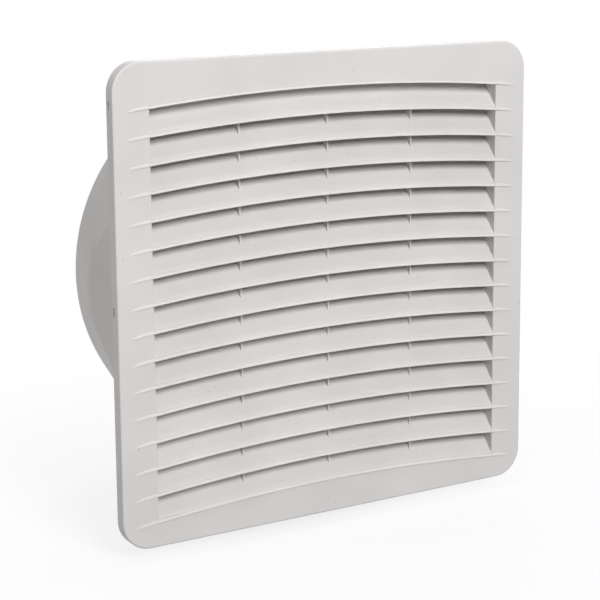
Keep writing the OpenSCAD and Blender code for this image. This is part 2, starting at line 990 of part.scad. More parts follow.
module rotor_cup() {
    boss_r = ball_at - ball_r - run;
    color(dark_metal)
        spun()
            polygon([
                [shaft_r + run / 2, cup_front],
                [cup_r - cup_t, cup_front],
                [cup_r, cup_front + cup_t],
                [cup_r, cup_rear],
                [cage_out + run, cup_rear],
                [cage_out + run, cup_front + cup_t],
                [boss_r, cup_front + cup_t],
                [boss_r, front_bearing_y - run],
                [shaft_r + run / 2, front_bearing_y - run]
            ]);
}

module motor_shaft() {
    groove_r = shaft_r - groove_d;
    color(steel)
        difference() {
            disc(shaft_r, cup_front, shaft_rear);
            ring(groove_r, shaft_r + over, circlip_y - run, circlip_y + circlip_t + run);
        }
}

// Copies at the front and rear bearing
module at_bearings() {
    for (y = [front_bearing_y, rear_bearing_y])
        translate([0, y, 0])
            children();
}

module bearing_outer_rings() {
    color(steel)
        at_bearings()
            ring(ball_at + ball_r + run, bearing_r, 0, bearing_w);
}

module bearing_inner_rings() {
    color(steel)
        at_bearings()
            ring(shaft_r + run / 2, ball_at - ball_r - run, 0, bearing_w);
}

module bearing_balls() {
    color("silver")
        at_bearings()
            around(ball_n, ball_at)
                translate([0, bearing_w / 2, 0])
                    sphere(ball_r);
}

module preload_washer() {
    y = front_bearing_y + bearing_w + 2 * run;
    color(steel)
        ring(seat_in + 2 * run, bearing_r - run, y, y + washer_t);
}

module shaft_circlip() {
    color(steel)
        ring(shaft_r - groove_d + run, shaft_r + circlip_w, circlip_y, circlip_y + circlip_t);
}

// One cambered blade along +X, trimmed to the hub and the tip circle
module vane() {
    root = hub_r - join;
    intersection() {
        translate([0, vane_y, 0])
            rotate([pitch_angle, 0, 0])
                rotate([0, 90, 0])
                    linear_extrude(tip_r + over)
                        translate([0, camber_rise * 2 / 3])
                            intersection() {
                                translate([0, -camber_r])
                                    difference() {
                                        circle(camber_r + vane_t / 2);
                                        circle(camber_r - vane_t / 2);
                                    }
                                square([chord, camber_r], center = true);
                            }
        ring(root, tip_r, cup_front, cup_rear);
        slab(cup_front, cup_rear)
            polygon([
                [vane_root_r, -chord * vane_lead[0]],
                [vane_belly_r, -chord * vane_lead[1]],
                [tip_r + over, -chord * vane_lead[2]],
                [tip_r + over, chord * vane_trail[2]],
                [vane_belly_r, chord * vane_trail[1]],
                [vane_root_r, chord * vane_trail[0]]
            ]);
    }
}

module impeller() {
    color("#2b2d31") {
        ring(cup_r + run, hub_r, cup_front, cup_rear);
        around(blade_n, 0)
            vane();
    }
}

module finger_guard() {
    inner = guard_first;
    outer = fan_screw_at - screw_head_r - pass;
    color(steel) {
        for (i = [0 : guard_n])
            spun()
                translate([guard_first + i * guard_pitch, guard_ring_y])
                    circle(wire_r, $fn = 24);
        around(spoke_n, (inner + outer) / 2, 45)
            translate([0, guard_y, 0])
                along_x(spoke_r, outer - inner);
        around(spoke_n, fan_screw_at, 45)
            ring(screw_r + run, screw_head_r + eye_rim, rear_y, rear_y + eye_t);
    }
}

module fan_screws() {
    color(steel)
        around(spoke_n, fan_screw_at, 45)
            screw(rear_y + eye_t, ring_rear - ring_flange_t - over);
}

// Places the terminals on the diagonal: X runs outward and Z along the block
module at_terminals() {
    rotate([0, 45, 0])
        translate([term_at, foot_y, 0])
            children();
}

module terminal_ways() {
    step = term_l / (term_n + 1);
    for (i = [1 : term_n])
        translate([0, 0, -term_l / 2 + i * step])
            children();
}

module terminal_block() {
    color("#cfcac0")
        at_terminals()
            difference() {
                block([-term_w / 2, 0, -term_l / 2], [term_w / 2, term_h, term_l / 2]);
                terminal_ways() {
                    disc(screw_r + run, way_top - pass, term_h + over);
                    translate([0, way_y, 0])
                        along_x(way_r, term_w + over);
                }
            }
}

module terminal_screws() {
    screw_top = term_h - pass;
    color("#b89a4a")
        at_terminals()
            terminal_ways()
                difference() {
                    disc(screw_r, way_top + pass, screw_top);
                    block([-screw_r - over, screw_top - term_slot_d, -term_slot_w / 2],
                          [screw_r + over, screw_top + over, term_slot_w / 2]);
                }
}

module terminal_cover() {
    inner = [term_w / 2 + term_fit, term_h + term_fit, term_l / 2 + term_fit];
    wall = [term_wall, term_wall, term_wall];
    outer = inner + wall;
    color("#3a3b3d")
        at_terminals()
            difference() {
                block([-outer[0], 0, -outer[2]], outer);
                block([-inner[0], -over, -inner[2]], inner);
                translate([0, entry_y, -outer[2]])
                    cylinder(r = entry_r, h = 4 * term_wall, center = true);
            }
}

grille_cover();
mounting_frame();
frame_gasket();
placed_clip(0);  // clip_upper_left
placed_clip(1);  // clip_lower_left
placed_clip(2);  // clip_upper_right
placed_clip(3);  // clip_lower_right
filter_mat();
filter_support();
fan_funnel();
funnel_screws();
fan_ring();
motor_bracket();
bracket_rivets();
stator_core();
stator_windings();
rotor_ring();
rotor_cup();
motor_shaft();
bearing_outer_rings();
bearing_inner_rings();
bearing_balls();
preload_washer();
shaft_circlip();
impeller();
finger_guard();
fan_screws();
terminal_block();
terminal_screws();
terminal_cover();
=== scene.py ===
import json
import math

import bpy
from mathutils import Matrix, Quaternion, Vector


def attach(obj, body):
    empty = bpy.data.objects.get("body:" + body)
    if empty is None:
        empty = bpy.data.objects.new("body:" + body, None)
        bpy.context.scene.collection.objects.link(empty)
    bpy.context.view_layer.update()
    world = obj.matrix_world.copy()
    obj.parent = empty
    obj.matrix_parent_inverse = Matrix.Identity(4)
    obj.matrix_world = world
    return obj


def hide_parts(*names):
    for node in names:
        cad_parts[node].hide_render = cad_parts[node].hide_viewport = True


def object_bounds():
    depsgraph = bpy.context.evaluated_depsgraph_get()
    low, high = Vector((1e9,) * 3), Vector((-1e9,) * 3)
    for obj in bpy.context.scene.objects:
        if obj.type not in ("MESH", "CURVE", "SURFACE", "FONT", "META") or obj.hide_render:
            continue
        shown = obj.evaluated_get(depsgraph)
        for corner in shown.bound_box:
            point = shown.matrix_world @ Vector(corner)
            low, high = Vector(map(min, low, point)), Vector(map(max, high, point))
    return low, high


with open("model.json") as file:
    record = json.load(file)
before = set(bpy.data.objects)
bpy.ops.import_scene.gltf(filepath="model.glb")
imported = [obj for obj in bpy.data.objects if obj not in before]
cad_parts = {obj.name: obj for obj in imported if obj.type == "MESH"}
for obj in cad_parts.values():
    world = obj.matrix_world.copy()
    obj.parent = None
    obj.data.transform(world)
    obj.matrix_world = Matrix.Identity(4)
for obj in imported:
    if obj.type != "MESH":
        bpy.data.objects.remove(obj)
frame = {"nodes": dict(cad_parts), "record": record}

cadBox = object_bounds()
mm = 0.001
weld = 0.001 * mm  # corners closer than this become one
waveUnit = 2 * math.pi / 20  # a wave texture of scale 1 repeats at this distance
noiseSpread = {"From Min": 0.3, "From Max": 0.7}  # most values of a noise texture lie in here


def linear(hexColour):
    # sRGB hex value to a linear colour
    channels = [int(hexColour[i:i + 2], 16) / 255 for i in (1, 3, 5)]
    return [c / 12.92 if c <= 0.04045 else ((c + 0.055) / 1.055) ** 2.4 for c in channels] + [1.0]


def perMetre(sizeMm):
    # texture scale that repeats about every sizeMm on Object coordinates
    return 1 / (sizeMm * mm)


def addNode(tree, kind, settings=None, links=None):
    # settings are the node's own properties or its sockets' values, links are socket to source
    node = tree.nodes.new(kind)
    for name, value in (settings or {}).items():
        if isinstance(name, str) and hasattr(node, name):
            setattr(node, name, value)
        else:
            node.inputs[name].default_value = value
    for name, source in (links or {}).items():
        tree.links.new(source, node.inputs[name])
    return node


def startMaterial(name, sockets):
    material = bpy.data.materials.new(name)
    material.use_nodes = True
    tree = material.node_tree
    shader = tree.nodes["Principled BSDF"]
    for socket, value in sockets.items():
        shader.inputs[socket].default_value = value
    where = addNode(tree, "ShaderNodeTexCoord").outputs["Object"]
    return material, tree, where


def finishMaterial(material, sources):
    # links the worked-out colour, roughness and normal to the shader
    tree = material.node_tree
    for socket, source in sources.items():
        tree.links.new(source, tree.nodes["Principled BSDF"].inputs[socket])
    return material


# In the finishes below, smooth and rough are the ends of the roughness range

# Moulded ABS: an even satin skin from a spark-eroded tool, faint flow clouds and a few dark specks.
# Its grain is drawn coarse enough to show
housing = {
    "dark": "#d2d0cf", "pale": "#d9d7d6", "cloudMm": 60, "smooth": 0.56, "rough": 0.7,
    "grainMm": 0.9, "grainDepthMm": 0.03, "edgeMm": 0.4,
    "speck": "#857f79", "speckMm": 0.35, "speckEveryMm": 8, "speckShare": 0.6,
}


def mouldedAbs(name):
    material, tree, where = startMaterial(name, {"IOR": 1.54, "Specular IOR Level": 0.28})
    cloud = addNode(tree, "ShaderNodeTexNoise", {"Scale": perMetre(housing["cloudMm"]), "Detail": 2.0},
                    {"Vector": where})
    spread = addNode(tree, "ShaderNodeMapRange", noiseSpread, {"Value": cloud.outputs["Fac"]})
    tone = addNode(tree, "ShaderNodeMix",
                   {"data_type": "RGBA", 6: linear(housing["dark"]), 7: linear(housing["pale"])},
                   {0: spread.outputs["Result"]})
    cells = addNode(tree, "ShaderNodeTexVoronoi", {"Scale": perMetre(housing["speckEveryMm"])},
                    {"Vector": where})
    isNear = addNode(tree, "ShaderNodeMath",
                     {"operation": "LESS_THAN", 1: housing["speckMm"] / housing["speckEveryMm"]},
                     {0: cells.outputs["Distance"]})
    isPicked = addNode(tree, "ShaderNodeMath", {"operation": "LESS_THAN", 1: housing["speckShare"]},
                       {0: cells.outputs["Color"]})
    isSpeck = addNode(tree, "ShaderNodeMath", {"operation": "MULTIPLY"},
                      {0: isNear.outputs[0], 1: isPicked.outputs[0]})
    specked = addNode(tree, "ShaderNodeMix", {"data_type": "RGBA", 7: linear(housing["speck"])},
                      {0: isSpeck.outputs[0], 6: tone.outputs[2]})
    grain = addNode(tree, "ShaderNodeTexNoise", {"Scale": perMetre(housing["grainMm"]), "Detail": 3.0},
                    {"Vector": where})
    gloss = addNode(tree, "ShaderNodeMapRange", {"To Min": housing["smooth"], "To Max": housing["rough"]},
                    {"Value": grain.outputs["Fac"]})
    edge = addNode(tree, "ShaderNodeBevel", {"samples": 4, "Radius": housing["edgeMm"] * mm})
    skin = addNode(tree, "ShaderNodeBump", {"Distance": housing["grainDepthMm"] * mm, "Strength": 0.5},
                   {"Height": grain.outputs["Fac"], "Normal": edge.outputs["Normal"]})
    return finishMaterial(material, {"Base Color": specked.outputs[2], "Roughness": gloss.outputs["Result"],
                                     "Normal": skin.outputs["Normal"]})


# Powder coat on sheet steel: deep grey with the soft ripple of orange peel
coat = {"dark": "#232427", "pale": "#2f3033", "peelMm": 1.6, "peelDepthMm": 0.06,
        "smooth": 0.34, "rough": 0.5}


def powderCoat(name):
    material, tree, where = startMaterial(name, {})
    peel = addNode(tree, "ShaderNodeTexNoise", {"Scale": perMetre(coat["peelMm"]), "Detail": 1.0},
                   {"Vector": where})
    tone = addNode(tree, "ShaderNodeMix",
                   {"data_type": "RGBA", 6: linear(coat["dark"]), 7: linear(coat["pale"])},
                   {0: peel.outputs["Fac"]})
    gloss = addNode(tree, "ShaderNodeMapRange", {"To Min": coat["smooth"], "To Max": coat["rough"]},
                    {"Value": peel.outputs["Fac"]})
    ripple = addNode(tree, "ShaderNodeBump", {"Distance": coat["peelDepthMm"] * mm, "Strength": 0.6},
                     {"Height": peel.outputs["Fac"]})
    return finishMaterial(material, {"Base Color": tone.outputs[2], "Roughness": gloss.outputs["Result"],
                                     "Normal": ripple.outputs["Normal"]})


# Glass-filled nylon: dull, with short flow marks of the fibres, in three colours
nylon = {
    "flowMm": 5, "flowDepthMm": 0.03, "smooth": 0.42, "rough": 0.6,
    "black": ("#1f2022", "#2c2d30"), "cream": ("#cbc6b9", "#d9d5c9"), "grey": ("#313234", "#3c3d40"),
}


def filledNylon(name, colour):
    dark, pale = nylon[colour]
    material, tree, where = startMaterial(name, {"IOR": 1.53})
    flow = addNode(tree, "ShaderNodeTexNoise",
                   {"Scale": perMetre(nylon["flowMm"]), "Detail": 5.0, "Roughness": 0.7}, {"Vector": where})
    spread = addNode(tree, "ShaderNodeMapRange", noiseSpread, {"Value": flow.outputs["Fac"]})
    tone = addNode(tree, "ShaderNodeMix", {"data_type": "RGBA", 6: linear(dark), 7: linear(pale)},
                   {0: spread.outputs["Result"]})
    gloss = addNode(tree, "ShaderNodeMapRange", {"To Min": nylon["smooth"], "To Max": nylon["rough"]},
                    {"Value": flow.outputs["Fac"]})
    marks = addNode(tree, "ShaderNodeBump", {"Distance": nylon["flowDepthMm"] * mm, "Strength": 0.5},
                    {"Height": flow.outputs["Fac"]})
    return finishMaterial(material, {"Base Color": tone.outputs[2], "Roughness": gloss.outputs["Result"],
                                     "Normal": marks.outputs["Normal"]})


# Zinc plate: bright and bluish, with cloudy dulling
zinc = {"dark": "#a4a8ac", "pale": "#c6cacd", "cloudMm": 6, "smooth": 0.26, "rough": 0.42}


def zincPlate(name):
    material, tree, where = startMaterial(name, {"Metallic": 1.0})
    dulling = addNode(tree, "ShaderNodeTexNoise", {"Scale": perMetre(zinc["cloudMm"]), "Detail": 4.0},
                      {"Vector": where})
    spread = addNode(tree, "ShaderNodeMapRange", noiseSpread, {"Value": dulling.outputs["Fac"]})
    tone = addNode(tree, "ShaderNodeMix",
                   {"data_type": "RGBA", 6: linear(zinc["dark"]), 7: linear(zinc["pale"])},
                   {0: spread.outputs["Result"]})
    gloss = addNode(tree, "ShaderNodeMapRange", {"To Min": zinc["smooth"], "To Max": zinc["rough"]},
                    {"Value": spread.outputs["Result"]})
    return finishMaterial(material, {"Base Color": tone.outputs[2], "Roughness": gloss.outputs["Result"]})


# Ground bearing steel: mirror-like, with fine marks of the wheel drawn coarse enough to show
steel = {"dark": "#b4b6b8", "pale": "#cfd1d3", "markMm": 0.8, "smooth": 0.12, "rough": 0.28}


def groundSteel(name):
    material, tree, where = startMaterial(name, {"Metallic": 1.0})
    marks = addNode(tree, "ShaderNodeTexNoise", {"Scale": perMetre(steel["markMm"]), "Detail": 2.0},
                    {"Vector": where})
    tone = addNode(tree, "ShaderNodeMix",
                   {"data_type": "RGBA", 6: linear(steel["dark"]), 7: linear(steel["pale"])},
                   {0: marks.outputs["Fac"]})
    gloss = addNode(tree, "ShaderNodeMapRange", {"To Min": steel["smooth"], "To Max": steel["rough"]},
                    {"Value": marks.outputs["Fac"]})
    return finishMaterial(material, {"Base Color": tone.outputs[2], "Roughness": gloss.outputs["Result"]})


# Stacked electrical steel: the edges of half-millimetre sheets, drawn twice as coarse to show
stack = {"dark": "#4c4e51", "pale": "#85888c", "sheetMm": 1.0, "stepMm": 0.1, "smooth": 0.35, "rough": 0.55}


def sheetStack(name):
    material, tree, where = startMaterial(name, {"Metallic": 1.0})
    sheets = addNode(tree, "ShaderNodeTexWave",
                     {"bands_direction": "Y", "Scale": perMetre(stack["sheetMm"]) * waveUnit,
                      "Distortion": 0.0},
                     {"Vector": where})
    tone = addNode(tree, "ShaderNodeMix",
                   {"data_type": "RGBA", 6: linear(stack["dark"]), 7: linear(stack["pale"])},
                   {0: sheets.outputs["Fac"]})
    gloss = addNode(tree, "ShaderNodeMapRange", {"To Min": stack["smooth"], "To Max": stack["rough"]},
                    {"Value": sheets.outputs["Fac"]})
    steps = addNode(tree, "ShaderNodeBump", {"Distance": stack["stepMm"] * mm, "Strength": 0.6},
                    {"Height": sheets.outputs["Fac"]})
    return finishMaterial(material, {"Base Color": tone.outputs[2], "Roughness": gloss.outputs["Result"],
                                     "Normal": steps.outputs["Normal"]})


# Enamelled copper wire: close turns of lacquered wire, drawn thick enough to show
wire = {"dark": "#6d3216", "pale": "#bd6c37", "turnMm": 0.9, "roundMm": 0.3, "smooth": 0.25, "rough": 0.45}


def enamelledCopper(name):
    material, tree, where = startMaterial(name, {"Metallic": 1.0, "Coat Weight": 0.4})
    turns = addNode(tree, "ShaderNodeTexWave",
                    {"wave_type": "RINGS", "rings_direction": "Y",
                     "Scale": perMetre(wire["turnMm"]) * waveUnit, "Distortion": 1.5},
                    {"Vector": where})
    tone = addNode(tree, "ShaderNodeMix",
                   {"data_type": "RGBA", 6: linear(wire["dark"]), 7: linear(wire["pale"])},
                   {0: turns.outputs["Fac"]})
    gloss = addNode(tree, "ShaderNodeMapRange", {"To Min": wire["smooth"], "To Max": wire["rough"]},
                    {"Value": turns.outputs["Fac"]})
    wires = addNode(tree, "ShaderNodeBump", {"Distance": wire["roundMm"] * mm, "Strength": 0.8},
                    {"Height": turns.outputs["Fac"]})
    return finishMaterial(material, {"Base Color": tone.outputs[2], "Roughness": gloss.outputs["Result"],
                                     "Normal": wires.outputs["Normal"]})


# Bright brass: warm yellow with faint tarnish
brass = {"dark": "#a8843c", "pale": "#d3b263", "tarnishMm": 3, "smooth": 0.2, "rough": 0.35}


def plainBrass(name):
    material, tree, where = startMaterial(name, {"Metallic": 1.0})
    tarnish = addNode(tree, "ShaderNodeTexNoise", {"Scale": perMetre(brass["tarnishMm"]), "Detail": 4.0},
                      {"Vector": where})
    tone = addNode(tree, "ShaderNodeMix",
                   {"data_type": "RGBA", 6: linear(brass["dark"]), 7: linear(brass["pale"])},
                   {0: tarnish.outputs["Fac"]})
    gloss = addNode(tree, "ShaderNodeMapRange", {"To Min": brass["smooth"], "To Max": brass["rough"]},
                    {"Value": tarnish.outputs["Fac"]})
    return finishMaterial(material, {"Base Color": tone.outputs[2], "Roughness": gloss.outputs["Result"]})


# Closed-cell foam rubber: matt charcoal, pitted by its cells
rubber = {"dark": "#29292a", "pale": "#474748", "cellMm": 0.9, "pitMm": 0.3}


def foamRubber(name):
    material, tree, where = startMaterial(name, {"Roughness": 0.95, "Specular IOR Level": 0.25})
    cells = addNode(tree, "ShaderNodeTexVoronoi", {"Scale": perMetre(rubber["cellMm"])}, {"Vector": where})
    tone = addNode(tree, "ShaderNodeMix",
                   {"data_type": "RGBA", 6: linear(rubber["dark"]), 7: linear(rubber["pale"])},
                   {0: cells.outputs["Distance"]})
    pits = addNode(tree, "ShaderNodeBump", {"Distance": rubber["pitMm"] * mm, "Strength": 0.9},
                   {"Height": cells.outputs["Distance"]})
    return finishMaterial(material, {"Base Color": tone.outputs[2], "Normal": pits.outputs["Normal"]})


# Bonded polyester fleece: off-white, a tangle of long fibres in two directions with thin patches between
fibres = {
    "thin": "#bdbab2", "thick": "#f0eee8", "fibreMm": 6, "patchMm": 22, "patchShare": 0.35, "napMm": 0.9,
    "ways": ((0.6, (1.0, 1.0, 6.0)), (-0.5, (6.0, 1.0, 1.0))),  # turn about Y and stretch of each direction
}


def bondedFleece(name):
    material, tree, where = startMaterial(
        name, {"Roughness": 1.0, "Specular IOR Level": 0.1, "Sheen Weight": 0.35, "Sheen Roughness": 0.6})
    strands = []
    for turn, stretch in fibres["ways"]:
        laid = addNode(tree, "ShaderNodeMapping", {"Rotation": (0.0, turn, 0.0), "Scale": stretch},
                       {"Vector": where})
        strand = addNode(tree, "ShaderNodeTexNoise",
                         {"Scale": perMetre(fibres["fibreMm"]), "Detail": 4.0, "Roughness": 0.65,
                          "Distortion": 0.8},
                         {"Vector": laid.outputs["Vector"]})
        strands.append(strand.outputs["Fac"])
    tangle = addNode(tree, "ShaderNodeMath", {"operation": "MAXIMUM"}, {0: strands[0], 1: strands[1]})
    patches = addNode(tree, "ShaderNodeTexNoise", {"Scale": perMetre(fibres["patchMm"]), "Detail": 3.0},
                      {"Vector": where})
    mixed = addNode(tree, "ShaderNodeMath", {"operation": "MULTIPLY_ADD", 1: fibres["patchShare"]},
                    {0: patches.outputs["Fac"], 2: tangle.outputs[0]})
    spread = addNode(tree, "ShaderNodeMapRange", {"From Min": 0.55, "From Max": 0.9},
                     {"Value": mixed.outputs[0]})
    tone = addNode(tree, "ShaderNodeMix",
                   {"data_type": "RGBA", 6: linear(fibres["thin"]), 7: linear(fibres["thick"])},
                   {0: spread.outputs["Result"]})
    nap = addNode(tree, "ShaderNodeBump", {"Distance": fibres["napMm"] * mm, "Strength": 0.8},
                  {"Height": tangle.outputs[0]})
    return finishMaterial(material, {"Base Color": tone.outputs[2], "Normal": nap.outputs["Normal"]})


materials = {
    "housing_abs": mouldedAbs("mouldedAbs"),
    "foam": foamRubber("foamRubber"),
    "fleece": bondedFleece("bondedFleece"),
    "zinc_steel": zincPlate("zincPlate"),
    "bright_steel": groundSteel("groundSteel"),
    "painted_casting": powderCoat("powderCoat"),
    "lamination": sheetStack("sheetStack"),
    "copper": enamelledCopper("enamelledCopper"),
    "impeller_plastic": filledNylon("filledNylon", "black"),
    "terminal_plastic": filledNylon("creamNylon", "cream"),
    "brass": plainBrass("plainBrass"),
    "dark_plastic": filledNylon("darkNylon", "grey"),
}
print("materials made:", len(materials))

slotOf = {part["node"]: part["material_slot"] for part in frame["record"]["subparts"]}
bodyOf = {node: body for body, nodes in frame["record"]["behaviour"]["bodies"].items() for node in nodes}
for name, node in frame["nodes"].items():
    node.data.materials.clear()
    node.data.materials.append(materials[slotOf[name]])
print("CAD nodes dressed:", len(slotOf))


# Camera: the photograph is taken from the left and a little above
photoCamera = {"place": (-0.610, -1.0135, 0.258), "azimuth": -30.20, "elevation": 10.28, "roll": -0.47,
               "focalPixels": 1738, "imagePixels": 600, "sensorWidth": 36, "shiftY": -0.13}


def placeCamera():
    turn = math.radians(photoCamera["azimuth"])
    rise = math.radians(photoCamera["elevation"])
    back = Vector((math.sin(turn) * math.cos(rise), -math.cos(turn) * math.cos(rise), math.sin(rise)))
    bpy.ops.object.select_all(action="DESELECT")
    bpy.ops.object.camera_add(location=photoCamera["place"])
    camera = bpy.context.object
    camera.name = "photoCamera"
    camera.rotation_mode = "QUATERNION"
    roll = Quaternion((0, 0, 1), math.radians(photoCamera["roll"]))
    camera.rotation_quaternion = (-back).to_track_quat("-Z", "Y") @ roll
    camera.data.sensor_width = photoCamera["sensorWidth"]
    camera.data.lens = photoCamera["focalPixels"] * camera.data.sensor_width / photoCamera["imagePixels"]
    camera.data.shift_y = photoCamera["shiftY"]
    bpy.context.scene.camera = camera


placeCamera()
print("camera placed")


def copyOfNode(name, ending):
    # a piece of its own, with the node's triangles joined up
    piece = bpy.data.objects.new(name + ending, frame["nodes"][name].data.copy())
    bpy.context.scene.collection.objects.link(piece)
    bpy.ops.object.select_all(action="DESELECT")
    piece.select_set(True)
    bpy.context.view_layer.objects.active = piece
    bpy.ops.object.mode_set(mode="EDIT")
    bpy.ops.mesh.select_all(action="SELECT")
    bpy.ops.mesh.remove_doubles(threshold=weld)
    bpy.ops.object.mode_set(mode="OBJECT")
    return piece


def standFor(piece, name):
    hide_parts(name)
    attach(piece, bodyOf[name])


# Width in mm of the small round that moulding, pressing and casting leave on each piece's edges, 0 for none
edges = {
    "grille_cover": 0.0, "mounting_frame": 0.4, "filter_support": 0.3, "fan_funnel": 0.6,
    "clip_upper_left": 0.25, "clip_lower_left": 0.25, "clip_upper_right": 0.25, "clip_lower_right": 0.25,
    "fan_ring": 0.5, "motor_bracket": 0.4, "rotor_cup": 0.8, "impeller": 0.3, "finger_guard": 0.0,
    "funnel_screws": 0.15, "fan_screws": 0.15, "bracket_rivets": 0.15,
    "terminal_block": 0.3, "terminal_cover": 0.5, "terminal_screws": 0.12,
    "stator_core": 0.2, "stator_windings": 0.5, "rotor_ring": 0.2, "motor_shaft": 0.2,
    "bearing_outer_rings": 0.15, "bearing_inner_rings": 0.15, "bearing_balls": 0.0, "preload_washer": 0.1,
    "shaft_circlip": 0.1,
}
edgeRound = {"sharpFrom": 32, "flatWithin": 0.2, "segments": 2, "smoothTo": 35, "flatWeight": 100}
# pieces with shallow creases that stay sharp, in degrees
creases = {"grille_cover": 14, "fan_funnel": 9}

# The cover's plain lip ends, which are pressed level with the border to make way for the tails
lipEnds = {"fromMm": 138.6, "toMm": 155, "borderMm": -10.5}


def levelLipEnds(piece):
    bpy.ops.object.mode_set(mode="EDIT")
    bpy.ops.mesh.select_mode(type="VERT")
    bpy.ops.mesh.select_all(action="DESELECT")
    bpy.ops.object.mode_set(mode="OBJECT")
    for vertex in piece.data.vertices:
        across = abs(vertex.co.x) / mm
        depth = vertex.co.y / mm
        vertex.select = lipEnds["fromMm"] < across < lipEnds["toMm"] and depth < lipEnds["borderMm"]
    print("lip ends levelled:", sum(vertex.select for vertex in piece.data.vertices))
    bpy.ops.object.mode_set(mode="EDIT")
    bpy.ops.transform.resize(value=(1, 0, 1), center_override=(0, lipEnds["borderMm"] * mm, 0))
    bpy.ops.mesh.select_all(action="SELECT")
    bpy.ops.mesh.dissolve_degenerate(threshold=weld)
    bpy.ops.object.mode_set(mode="OBJECT")


def softenEdges(name):
    piece = copyOfNode(name, "Body")
    if name == "grille_cover":
        levelLipEnds(piece)
    if edges[name]:
        bpy.ops.object.mode_set(mode="EDIT")
        bpy.ops.mesh.select_all(action="SELECT")
        bpy.ops.mesh.dissolve_limited(angle_limit=math.radians(edgeRound["flatWithin"]))
        bpy.ops.object.mode_set(mode="OBJECT")
        bevel = piece.modifiers.new("edgeRound", "BEVEL")
        bevel.width = edges[name] * mm
        bevel.segments = edgeRound["segments"]
        bevel.limit_method = "ANGLE"
        bevel.angle_limit = math.radians(edgeRound["sharpFrom"])
        bevel.use_clamp_overlap = True
        bpy.ops.object.modifier_apply(modifier=bevel.name)
    bpy.ops.object.shade_smooth_by_angle(angle=math.radians(creases.get(name, edgeRound["smoothTo"])))
    flatFaces = piece.modifiers.new("flatFaces", "WEIGHTED_NORMAL")
    flatFaces.mode = "FACE_AREA"
    flatFaces.weight = edgeRound["flatWeight"]
    flatFaces.keep_sharp = True
    bpy.ops.object.modifier_apply(modifier=flatFaces.name)
    standFor(piece, name)
    return piece


for name in edges:
    piece = softenEdges(name)
    print("edges softened:", name, len(piece.data.polygons))


# Louvres: shallow arcs one below the other, all with the same long radius
louvres = {"arcMm": 1400, "pitchMm": 18.5, "steps": 72, "smoothTo": 40}


def finishRows(piece, count):
    # repeats the first row down the cover
    rows = piece.modifiers.new("rows", "ARRAY")
    rows.count = count
    rows.use_relative_offset = False
    rows.use_constant_offset = True
    rows.constant_offset_displace = (0, 0, -louvres["pitchMm"] * mm)
    bpy.ops.object.modifier_apply(modifier=rows.name)
    bpy.ops.object.shade_smooth_by_angle(angle=math.radians(louvres["smoothTo"]))
    piece.data.materials.append(materials["housing_abs"])
    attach(piece, "cover")
    print("rows made:", piece.name, count, len(piece.data.polygons))


def sweepRows(outline, firstMm, halfMm, count):
    # outline: a flat face in Y and Z at the crown of the first arc, whose height is firstMm
    centre = (0, 0, (firstMm - louvres["arcMm"]) * mm)
    turn = math.asin(halfMm / louvres["arcMm"])
    bpy.ops.object.mode_set(mode="EDIT")
    bpy.ops.mesh.select_all(action="SELECT")
    bpy.ops.mesh.delete(type="ONLY_FACE")
    bpy.ops.mesh.select_all(action="SELECT")
    bpy.ops.transform.rotate(value=-turn, orient_axis="Y", center_override=centre)
    bpy.ops.mesh.spin(steps=louvres["steps"], angle=2 * turn, center=centre, axis=(0, 1, 0))
    bpy.ops.mesh.select_all(action="SELECT")
    bpy.ops.mesh.remove_doubles(threshold=weld)
    bpy.ops.mesh.fill_holes(sides=0)
    bpy.ops.mesh.normals_make_consistent(inside=False)
    bpy.ops.object.mode_set(mode="OBJECT")
    finishRows(outline, count)


# Lips: a round front edge over a flat underside, swept finely so that the highlight along it runs even
lips = {"count": 16, "firstMm": 139.8, "lowMm": -1.3, "halfMm": 138.6, "edgeMm": 1.53, "underMm": 0.04,
        "insideMm": 0.004, "sides": 40}
# middle of the round edge, which stays inside the CAD box
lipFront = cadBox[0].y + (lips["edgeMm"] + lips["insideMm"]) * mm


def sweepLips():
    low = (lips["firstMm"] + lips["lowMm"]) * mm
    bpy.ops.object.select_all(action="DESELECT")
    bpy.ops.mesh.primitive_circle_add(vertices=lips["sides"], radius=lips["edgeMm"] * mm, fill_type="NGON",
                                      location=(0, lipFront, low), rotation=(0, math.pi / 2, 0))
    outline = bpy.context.object
    outline.name = "grilleLips"
    bpy.ops.object.transform_apply(location=True, rotation=True, scale=True)
    bpy.ops.object.mode_set(mode="EDIT")
    bpy.ops.mesh.select_all(action="SELECT")
    under = (0, lipFront, low - lips["underMm"] * mm)
    bpy.ops.mesh.bisect(plane_co=under, plane_no=(0, 0, 1), clear_inner=True)
    bpy.ops.object.mode_set(mode="OBJECT")
    sweepRows(outline, lips["firstMm"], lips["halfMm"], lips["count"])


# Blades: the sloping tops between the lips, as thin skins sunk into the blades, so that they shade evenly
blades = {"count": 15, "firstMm": 121.3, "halfMm": 136.7, "frontMm": -10.3, "lowMm": 1.3, "depthMm": 17.8,
          "riseMm": 18.5, "skinMm": 0.3, "proudMm": 0.03}


